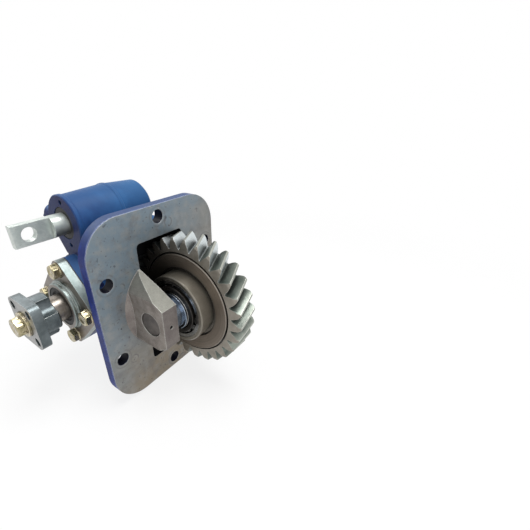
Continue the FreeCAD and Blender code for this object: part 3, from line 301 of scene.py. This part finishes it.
def casting_finish():
    """Blue painted casting with a milled face, bare ears and a dark inside."""
    s = Surface("painted casting")
    grit = s.noise(s.place, 1.6, 4.0, 0.65)
    cloud = s.noise(s.place, 0.035, 3.0)
    patch = s.noise(s.place, 0.11, 4.0, 0.62)
    blotch = s.noise(s.place, 0.05, 5.0, 0.7)
    smear = s.noise(s.stretched(0.03, 0.03, 0.10), 1.0, 3.0, 0.6)
    lay = s.noise(s.stretched(0.05, 0.05, 6.0), 1.0, 2.0, 0.5)
    pits = s.noise(s.place, 0.16, 2.0, 0.7).step(0.62, 0.72)
    specks = s.noise(s.place, 0.36, 2.0, 0.5).step(0.66, 0.73)
    # Masks for painted shade in corners and tight corners, and for edges that get partly worn, partly painted
    # highlight
    corner = s.crevice(9.0)
    tight_corner_shade = s.crevice(2.5)
    edge = s.edge(0.9)

    # Where each kind of surface lies
    front = (s.y < FACE_SKIN) * (s.inward < -0.9) * (s.y > -FACE_SKIN)
    ear = (s.y < FACE_SKIN) * (1.0 - front)
    inside = ((s.y > WALL_START) * (s.y < INSIDE_DEPTH)
              * (abs(s.x) < WINDOW_HALF_X) * (abs(s.z) < WINDOW_HALF_Z))
    rim = (abs(s.x) > RIM_X).most(abs(s.z) > RIM_Z)
    band = (s.y > FACE_SKIN) * (s.y < FLANGE_BACK) * (s.inward > -0.6) * (s.inward < 0.6) * rim
    # Faces of the case turned to -X, which get painted shade
    left_facing_shade = (0.0 - s.across).step(0.5, 0.95) * (s.y > CASE_START)
    chip = band * (s.y < 1.0 + patch * 1.6) * grit.step(0.44, 0.54)

    # In and round the holes: the wall, darkened as painted shade, the mark of a washer, and a stain below and to
    # the right
    bore = ring_mark = stain = s.z * 0.0
    for x, z in FLANGE_HOLES:
        off_x = s.x - x
        off_z = s.z - z
        away = distance(off_x, off_z)
        beside = distance(off_x - 12.0, off_z + 8.0)
        bore = bore.most(away < HOLE_RADIUS)
        ring_mark = ring_mark.most(1.0 - abs(away - WASHER_MARK_RADIUS).step(0.3, 1.3))
        stain = stain.most(1.0 - abs(beside - STAIN_RADIUS).step(0.2, 1.1))
    bore = bore * (s.y > WALL_START) * (s.y < HOLE_END)

    paint = s.layers(
        s.tones(cloud.step(0.35, 0.7), (36, 58, 108), (48, 86, 138)),
        # Painted light: paint lighter and tealer towards +X, and lighter on upward faces
        (s.x.step(-60.0, 40.0) * 0.45, (44, 98, 140)),
        (s.upward.step(0.1, 0.9) * 0.35, (58, 104, 150)),
        # Painted shade on the case's faces turned to -X
        (left_facing_shade * 0.8, (34, 34, 76)),
        (grit.step(0.55, 0.8) * 0.25, (70, 104, 150)),
        # Lighter paint on edges: partly worn paint, partly painted highlight
        (edge * grit.step(0.35, 0.7) * 0.45, (96, 122, 166)),
        # Painted shade in corners
        (corner.step(0.25, 0.85) * 0.8, (14, 18, 40)),
        (band * (0.75 + 0.25 * cloud), (28, 38, 104)),
        (band * patch.step(0.45, 0.6) * 0.5, (26, 54, 140)),
        # Painted light on the upward faces of the flange's side band
        (band * s.upward.step(0.3, 0.9) * 0.75, (62, 80, 110)),
        (chip * 0.8, (140, 152, 186)))

    warm = (s.x * 0.5 - s.z * 0.6 + cloud * 60.0).step(-25.0, 75.0)
    milled = s.layers(
        s.tones(warm, (116, 132, 143), (136, 125, 108)),
        (patch.step(0.42, 0.66) * 0.5, (146, 146, 142)),
        (blotch.step(0.5, 0.66) * 0.45, (104, 100, 100)),
        (smear.step(0.45, 0.75) * 0.25, (100, 102, 106)),
        (grit.step(0.45, 0.75) * 0.22, (92, 90, 90)),
        ((lay - 0.5) * 0.2 + 0.05, (172, 174, 176)),
        (pits * 0.55, (70, 68, 72)),
        (specks * 0.7, (54, 52, 56)),
        # Painted shade in tight corners
        (tight_corner_shade.step(0.1, 0.6) * 0.5, (84, 82, 84)),
        # Bright edges: partly wear, partly painted highlight
        (edge * 0.5, (176, 178, 180)),
        (ring_mark * patch.step(0.35, 0.6) * 0.4, (92, 90, 94)),
        (stain * patch.step(0.46, 0.6) * 0.55, (80, 78, 82)))

    bare = s.layers(
        s.tones(patch.step(0.3, 0.7), (136, 128, 122), (164, 157, 150)),
        # Painted light: upward faces of the ears in a greenish grey
        (s.upward.step(0.25, 0.7) * 0.7, (118, 122, 114)),
        (grit.step(0.4, 0.75) * 0.5, (92, 86, 84)),
        # Bright edges of the ears: painted highlight, partly wear
        (s.edge(1.6) * 0.8, (206, 206, 200)),
        # Painted shade on the ears' faces turned to -Y
        ((0.0 - s.inward).step(0.75, 0.95) * 0.5, (80, 74, 76)),
        # Painted shade in corners
        (corner.step(0.3, 0.9) * 0.7, (60, 55, 52)))

    colour = s.mix(front, paint, milled)
    colour = s.mix(ear, colour, bare)
    colour = s.mix(inside, colour, s.tones(grit, (14, 14, 16), (30, 30, 33)))
    # Hole walls near-black: painted shade
    colour = s.layers(colour, (bore, (24, 24, 34)))
    rough = 0.44 + (grit - 0.5) * 0.25 + ear * 0.08 + inside * 0.35 + front * (lay - 0.5) * 0.2
    metal = front.most(ear) * (1.0 - inside) * (1.0 - bore) * 0.6
    height = (1.0 - front) * (grit + cloud * 2.0) + ear * grit + front * lay * 0.25
    return s.set(colour, rough, metal, height, 0.12, 0.9, gloss=0.12)


def turned_finish(name, axis, dark, light, rough=0.3, fine=5.0, metallic=1.0):
    """Turned steel: fine rings round an axis, with cloudy tone, bright edges that are partly wear and partly
    painted highlight, and painted shade in the corners.
    """
    s = Surface(name)
    lay = s.turning(s.radius(axis), fine, fine)
    cloud = s.noise(s.place, 0.12, 3.0, 0.6)
    colour = s.layers(
        s.tones(cloud.step(0.3, 0.7), dark, light),
        ((lay - 0.35) * 0.5, lighter(light, 45)),
        # Bright edges: partly wear, partly painted highlight
        (s.edge(0.35) * 0.7, lighter(light, 50)),
        # Painted shade in corners
        (s.crevice(3.0).step(0.2, 0.9) * 0.8, darker(dark, 0.35)))
    return s.set(colour, rough + (lay - 0.5) * 0.16 + (cloud - 0.5) * 0.1, metallic, lay, 0.02, 0.25)


def gear_finish(name, axis, tip, root, web=None):
    """Gear steel: pale tip lands, a painted highlight on one flank of each tooth and a darker tone on the other
    as shade, a brown web, bright edges that are partly wear and partly painted highlight, and painted shade in
    corners and deep in the housing.
    """
    s = Surface(name)
    ring = s.radius(axis)
    lay = s.turning(ring, 3.0, 3.0)
    cloud = s.noise(s.place, 0.09, 4.0, 0.6)
    fine = s.noise(s.stretched(0.4, 1.0, 1.0), 1.3, 3.0, 0.6)
    flat_end = abs(s.across).step(0.7, 0.95)
    # Which way a flank faces round the axis tells the flank with the painted highlight from the other, which
    # keeps the darker tone as shade
    turn = (s.upward * (s.y - axis[0]) - s.inward * (s.z - axis[1])) / ring
    flank = s.layers(
        s.tones(cloud.step(0.3, 0.7), (82, 90, 84), (112, 118, 110)),
        (fine.step(0.5, 0.8) * 0.35, (60, 64, 58)),
        (ring.step(tip - 3.5, tip) * 0.3, (160, 162, 154)),
        # Painted highlight on the flanks that face one way round the axis
        (turn.step(0.1, 0.4) * (0.75 + cloud * 0.3), (214, 222, 224)))
    ends = s.layers(
        s.tones(cloud.step(0.3, 0.75), (126, 121, 111), (150, 144, 134)),
        ((lay - 0.35) * 0.3, (168, 160, 150)))
    colour = s.mix(flat_end.most(ring < root - 0.3), flank, ends)
    colour = s.layers(colour, (ring.step(tip - 0.5, tip - 0.2) * (1.0 - flat_end), (158, 160, 152)))
    if web:
        low, high = web
        brown = ring.step(low - 0.8, low) * (1.0 - ring.step(high - 0.6, high + 0.2))
        hub = ring < low - 2.0
        colour = s.mix(brown * 0.9, colour, s.tones(lay.step(0.3, 0.7), (112, 102, 92), (134, 123, 112)))
        colour = s.mix(hub * 0.6, colour, s.tones(lay, (92, 88, 78), (124, 118, 106)))
    colour = s.layers(
        colour,
        # Bright edges: partly wear, partly painted highlight
        (s.edge(0.5) * 0.75, (196, 192, 184)),
        # Painted shade in corners
        (s.crevice(5.0).step(0.3, 0.95) * 0.75, (26, 25, 23)),
        # Painted shadow where the wheel lies deep in the housing's window
        (s.crevice(60.0).step(0.42, 0.78) * 0.85, (14, 14, 13)))
    rough = 0.33 + (lay - 0.5) * 0.15 + (cloud - 0.5) * 0.16
    return s.set(colour, rough, 0.6, lay + fine * 0.5, 0.03, 0.35)


def plated_finish():
    """Yellow passivated zinc: pale straw with greenish and pinkish clouds, bright edges that are partly wear and
    partly painted highlight, and painted shade in the corners, in olive.
    """
    s = Surface("yellow zinc")
    cloud = s.noise(s.place, 0.22, 3.0, 0.6)
    fine = s.noise(s.place, 2.2, 3.0, 0.6)
    stops = ((0.30, srgb((128, 124, 94))), (0.48, srgb((170, 160, 128))),
             (0.60, srgb((194, 185, 162))), (0.74, srgb((174, 152, 136))))
    colour = s.layers(
        s.node("ShaderNodeValToRGB", {"stops": stops}, {0: cloud}),
        (fine.step(0.55, 0.8) * 0.35, (110, 100, 66)),
        # Bright edges: partly wear, partly painted highlight
        (s.edge(0.4) * 0.6, (226, 220, 192)),
        # Painted shade in corners, in olive
        (s.crevice(2.5).step(0.2, 0.9) * 0.85, (54, 46, 28)))
    return s.set(colour, 0.26 + (fine - 0.5) * 0.2, 0.9, fine, 0.015, 0.25)


def faced_finish(name, light, dark, face_light, face_dark):
    """Satin grey metal with spots on its sides and turned rings on its faces."""
    s = Surface(name)
    cloud = s.noise(s.place, 0.07, 4.0, 0.6)
    fine = s.noise(s.place, 1.8, 4.0, 0.65)
    face = abs(s.across).step(0.8, 0.98)
    lay = s.turning(s.radius(OUTPUT_AXIS), 4.0, 4.0)
    sides = s.layers(
        s.tones(cloud.step(0.3, 0.7), dark, light),
        (fine.step(0.5, 0.8) * 0.35, darker(dark, 0.72)))
    faces = s.layers(
        s.tones(cloud.step(0.3, 0.7), face_dark, face_light),
        ((lay - 0.3) * 0.6, lighter(face_light, 40)))
    colour = s.layers(
        s.mix(face, sides, faces),
        # Bright edges: partly wear, partly painted highlight
        (s.edge(0.6) * 0.75, (206, 208, 204)),
        # Painted shade in corners
        (s.crevice(5.0).step(0.25, 0.9) * 0.75, (46, 42, 36)))
    rough = 0.36 + (fine - 0.5) * 0.2 + (cloud - 0.5) * 0.1
    return s.set(colour, rough, 0.75, fine * (1.0 - face) + lay * 0.4, 0.05, 0.5)


def plain_finish(name, first, second, rough, metallic=0.0, scale=0.6):
    """Two tones in fine clouds."""
    s = Surface(name)
    cloud = s.noise(s.place, scale, 4.0, 0.6)
    colour = s.layers(
        s.tones(cloud.step(0.3, 0.7), first, second),
        # Painted shade in corners
        (s.crevice(2.0).step(0.2, 0.9) * 0.6, darker(first, 0.4)))
    return s.set(colour, rough + (cloud - 0.5) * 0.15, metallic, cloud, 0.05, 0.2)


def rod_finish():
    """Ground rod steel, with long grinding lines on the flat tang."""
    s = Surface("ground rod steel")
    flat = abs(s.inward).step(0.9, 0.99) * (s.x < TANG_RIGHT)
    turned = s.turning(s.radius(ROD_AXIS), 5.0, 2.0)
    ground = s.noise(s.stretched(0.25, 2.0, 5.0), 1.0, 3.0, 0.5)
    lay = turned * (1.0 - flat) + ground * flat
    cloud = s.noise(s.place, 0.10, 3.0, 0.6)
    # The underside of the round neck, which gets painted shade
    neck = (s.x > TANG_RIGHT) * (1.0 - s.upward.step(-0.6, 0.2))
    colour = s.layers(
        s.tones(cloud.step(0.3, 0.7), (180, 190, 185), (206, 213, 208)),
        ((lay - 0.3) * 0.5, (204, 208, 202)),
        # Painted shade on the underside of the neck
        (neck * 0.75, (70, 62, 56)),
        # Bright edges: partly wear, partly painted highlight
        (s.edge(0.4) * 0.6, (216, 218, 212)),
        # Painted shade in corners
        (s.crevice(4.0).step(0.2, 0.9) * 0.85, (42, 38, 34)))
    return s.set(colour, 0.30 + (lay - 0.5) * 0.16, 0.5, lay, 0.015, 0.3)


BRONZE_TONES = ((150, 118, 66), (184, 150, 92))
zinc = plated_finish()

for finish, names in (
        (casting_finish(), "housing shift_end_cap detent_plug core_plug"),
        (gear_finish("wheel steel", WHEEL_AXIS, WHEEL_TIP, WHEEL_ROOT, WHEEL_WEB), "input_gear"),
        (gear_finish("pinion steel", OUTPUT_AXIS, PINION_TIP, PINION_ROOT), "driven_gear clutch_sleeve"),
        (turned_finish("bearing steel in the wheel", WHEEL_AXIS, (128, 128, 128), (168, 168, 166), 0.2, 4.0),
         "bearing_cups bearing_cones bearing_rollers"),
        (turned_finish("bearing steel on the shaft", OUTPUT_AXIS, (150, 152, 156), (186, 188, 190), 0.18),
         "bearing_outer_rings bearing_inner_rings bearing_balls detent_ball"),
        (turned_finish("ground steel on the wheel line", WHEEL_AXIS, (112, 122, 134), (150, 162, 178), 0.22),
         "idler_spacer cone_spacer"),
        (turned_finish("idler shaft steel", WHEEL_AXIS, (96, 90, 87), (120, 113, 108), 0.38, 2.0, 0.7),
         "idler_shaft"),
        (turned_finish("ground steel on the output line", OUTPUT_AXIS, (118, 110, 102), (158, 152, 144),
                       0.34, 2.0, 0.8), "output_shaft side_washer"),
        (turned_finish("bronze", WHEEL_AXIS, *BRONZE_TONES, 0.34), "thrust_washer"),
        (turned_finish("bush bronze", OUTPUT_AXIS, *BRONZE_TONES, 0.34), "gear_bush"),
        (faced_finish("cover metal", (142, 152, 150), (112, 124, 122), (128, 120, 112), (98, 92, 86)),
         "output_cover"),
        (faced_finish("coupling steel", (110, 118, 120), (78, 86, 88), (150, 150, 148), (112, 114, 114)),
         "coupling_flange"),
        (zinc, "cover_bolts end_washer end_bolt"),
        (rod_finish(), "shift_rod"),
        (plain_finish("cage steel", (44, 42, 40), (76, 72, 68), 0.34, 0.9, 0.8), "roller_cages"),
        (plain_finish("spring steel", (46, 46, 48), (74, 74, 76), 0.35, 0.9), "lock_pin fork_pin detent_spring"),
        (plain_finish("seal rubber", (20, 20, 21), (34, 34, 35), 0.6), "oil_seal rod_seal"),
        (plain_finish("gasket sheet", (40, 36, 32), (58, 50, 42), 0.75), "cover_gasket"),
        (plain_finish("fork iron", (62, 60, 60), (88, 86, 84), 0.55, 0.8), "shift_fork")):
    for name in names.split():
        mesh = nodes[name].data
        mesh.materials.clear()
        mesh.materials.append(finish)


# ---------------------------------------------------------------- new pieces

BOLT_STEPS = 72
SHARP_ANGLE = math.radians(32)


def add_object(name, data):
    made = bpy.data.objects.new(name, data)
    bpy.context.scene.collection.objects.link(made)
    return made


def grid_mesh(name, points, finish):
    """Closed tube from an array of rings, points[ring, step, xyz], with both ends fanned shut."""
    rings, steps = points.shape[:2]
    first, last = points[0].mean(0), points[-1].mean(0)
    corners = np.concatenate([points.reshape(-1, 3), first[None], last[None]]) * MM
    ring, step = np.meshgrid(np.arange(rings - 1), np.arange(steps), indexing="ij")
    after = (step + 1) % steps
    sides = np.stack([ring * steps + step, (ring + 1) * steps + step,
                      (ring + 1) * steps + after, ring * steps + after], -1).reshape(-1, 4)
    around = np.arange(steps)
    onward = (around + 1) % steps
    start = np.stack([np.full(steps, rings * steps), around, onward], -1)
    end = np.stack([np.full(steps, rings * steps + 1), (rings - 1) * steps + onward,
                    (rings - 1) * steps + around], -1)
    mesh = bpy.data.meshes.new(name)
    mesh.from_pydata(corners.tolist(), [], sides.tolist() + start.tolist() + end.tolist())
    mesh.materials.append(finish)
    mesh.validate()
    piece = add_object(name, mesh)
    mesh.update()
    for polygon in mesh.polygons:
        polygon.use_smooth = True
    mesh.set_sharp_from_angle(angle=SHARP_ANGLE)
    return piece


def bolt_rings(axis_y, axis_z, face, flats, head, collar_radius, collar, shank, length):
    """Rings of a hexagon bolt along +X. face is where the collar seats, head and collar are heights.

    The head's radius is the least of the hexagon, flats / 2 / cos(angle from the middle of a flat), and a
    cone of about 30 degrees that starts at 0.46 of the flats on the end face, which is slightly dished.
    Collar and shank are plain circles.
    """
    cone_height = 1.1
    cone_slope = 1.7
    angle = np.arange(BOLT_STEPS) / BOLT_STEPS * TAU
    in_flat = np.mod(angle + TAU / 12.0, TAU / 6.0) - TAU / 12.0
    hexagon = flats / 2.0 / np.cos(in_flat)
    top = face - collar - head
    stations = [(top + 0.5, 0.0), (top + 0.5, flats * 0.24), (top + 0.1, flats * 0.30), (top, flats * 0.44)]
    for depth in np.linspace(0.12, 1.0, 5) * cone_height:
        stations.append((top + depth, np.minimum(hexagon, flats * 0.46 + depth * cone_slope)))
    stations += [
        (face - collar - 0.35, hexagon),
        (face - collar, np.minimum(hexagon, collar_radius - 0.9)),
        (face - collar * 0.55, collar_radius - 0.25),
        (face - collar * 0.35, collar_radius),
        (face - 0.02, collar_radius),
        (face - 0.02, shank),
        (face + length - 0.8, shank),
        (face + length, shank - 0.8),
    ]
    flat = np.zeros(BOLT_STEPS)
    x = np.array([place + flat for place, _ in stations])
    radius = np.array([reach + flat for _, reach in stations])
    return np.stack([x, axis_y + radius * np.cos(angle), axis_z + radius * np.sin(angle)], -1)


COVER_BOLT = {"flats": 13.0, "head": 5.3, "collar_radius": 7.54, "collar": 1.2, "shank": 4.0, "length": 21.5}
END_BOLT = {"flats": 17.0, "head": 6.2, "collar_radius": 9.52, "collar": 0.8, "shank": 5.0, "length": 24.5}
BOLT_CIRCLE = 36.0
cover_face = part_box("cover_bolts")[0].x / MM + COVER_BOLT["head"] + COVER_BOLT["collar"]
coupling_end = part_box("end_washer")[0].x / MM

for number, (a, b) in enumerate(((0, 1), (1, 0), (0, -1), (-1, 0))):
    piece = grid_mesh("cover_bolt_%d" % (number + 1), bolt_rings(
        OUTPUT_AXIS[0] + BOLT_CIRCLE * a, OUTPUT_AXIS[1] + BOLT_CIRCLE * b, cover_face, **COVER_BOLT), zinc)
    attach(piece, "housing_body")
    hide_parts("cover_bolts")

end_bolt = grid_mesh("end_bolt_turned", bolt_rings(*OUTPUT_AXIS, coupling_end, **END_BOLT), zinc)
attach(end_bolt, "output_body")
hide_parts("end_bolt")


# ---------------------------------------------------------------- floor, light, camera
# From here on, lengths are in metres and powers in watts.

FLOOR_DROP = 0.0015
FLOOR_HALF = 6.0
FLOOR_WHITE = 0.80
SKY_LIGHT = 0.38
PURE_WHITE = (1.0, 1.0, 1.0, 1.0)


def floor_finish():
    """White floor that keeps the shadow: part of it is seen as plain white, and all of it far away."""
    s = Finish(bpy.data.materials.new("white floor"))
    east, north, _ = s.split(s.node("ShaderNodeTexCoord", out="Object"))
    far = distance(east, north).step(0.25, 0.75)
    plain = s.node("ShaderNodeBsdfDiffuse", None, {"Color": (0.86, 0.86, 0.86, 1.0)})
    white = s.node("ShaderNodeEmission", None, {"Color": PURE_WHITE, "Strength": 1.0})
    share = s.seen() * (FLOOR_WHITE + (1.0 - FLOOR_WHITE) * far)
    both = s.node("ShaderNodeMixShader", None, {0: share, 1: plain, 2: white})
    s.node("ShaderNodeOutputMaterial", None, {"Surface": both})
    return s.block


floor_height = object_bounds()[0].z - FLOOR_DROP
floor_mesh = bpy.data.meshes.new("floor")
floor_mesh.from_pydata([(FLOOR_HALF * a, FLOOR_HALF * b, floor_height)
                        for a, b in ((-1, -1), (1, -1), (1, 1), (-1, 1))], [], [(0, 1, 2, 3)])
floor_mesh.materials.append(floor_finish())
floor = add_object("floor", floor_mesh)

# The sky lights the piece softly and is itself seen as plain white
world = bpy.data.worlds.new("studio")
bpy.context.scene.world = world
sky = Finish(world)
strength = sky.seen() * (1.0 - SKY_LIGHT) + SKY_LIGHT
sky.node("ShaderNodeOutputWorld", None, {"Surface": sky.node(
    "ShaderNodeBackground", None, {"Color": PURE_WHITE, "Strength": strength})})

LAMP_AIM = Vector((0.0, 0.02, 0.0))
for name, place, width, power in (
        ("key above", (0.12, -0.25, 1.1), 0.6, 11.0),
        ("fill front", (-0.45, -1.1, 0.45), 0.8, 5.0),
        ("rim behind", (-0.1, 0.95, 0.8), 0.6, 4.0)):
    light = bpy.data.lights.new(name, "AREA")
    light.shape = "SQUARE"
    light.size = width
    light.energy = power
    lamp = add_object(name, light)
    lamp.location = place
    lamp.rotation_euler = (LAMP_AIM - Vector(place)).to_track_quat("-Z", "Y").to_euler()

# The camera was solved from the photograph, with its place and the directions of the picture's sides.
# The picture is cut from a wider one, so its middle lies a shift, in image widths, from the optical axis.
CAMERA_PLACE = Vector((-0.177361, -0.210820, 0.165367))
CAMERA_RIGHT = Vector((0.59618, -0.80271, -0.01517))
CAMERA_UP = Vector((0.38416, 0.26862, 0.88333))
CAMERA_SHIFT = (0.07203, 0.01696)
FOCAL_PIXELS = 308.045
IMAGE_SIZE = 530.0
SENSOR_WIDTH = 36.0

back = CAMERA_RIGHT.cross(CAMERA_UP).normalized()
up = back.cross(CAMERA_RIGHT).normalized()
right = CAMERA_RIGHT.normalized()
turn = Matrix((right, up, back)).transposed()
camera_data = bpy.data.cameras.new("camera")
camera_data.sensor_width = SENSOR_WIDTH
camera_data.lens = FOCAL_PIXELS / IMAGE_SIZE * SENSOR_WIDTH
camera_data.shift_x, camera_data.shift_y = CAMERA_SHIFT
camera_data.clip_start = 0.01
camera_data.clip_end = 50.0
camera = add_object("camera", camera_data)
camera.matrix_world = Matrix.Translation(CAMERA_PLACE) @ turn.to_4x4()
bpy.context.scene.camera = camera

bpy.context.scene.view_settings.view_transform = "Standard"
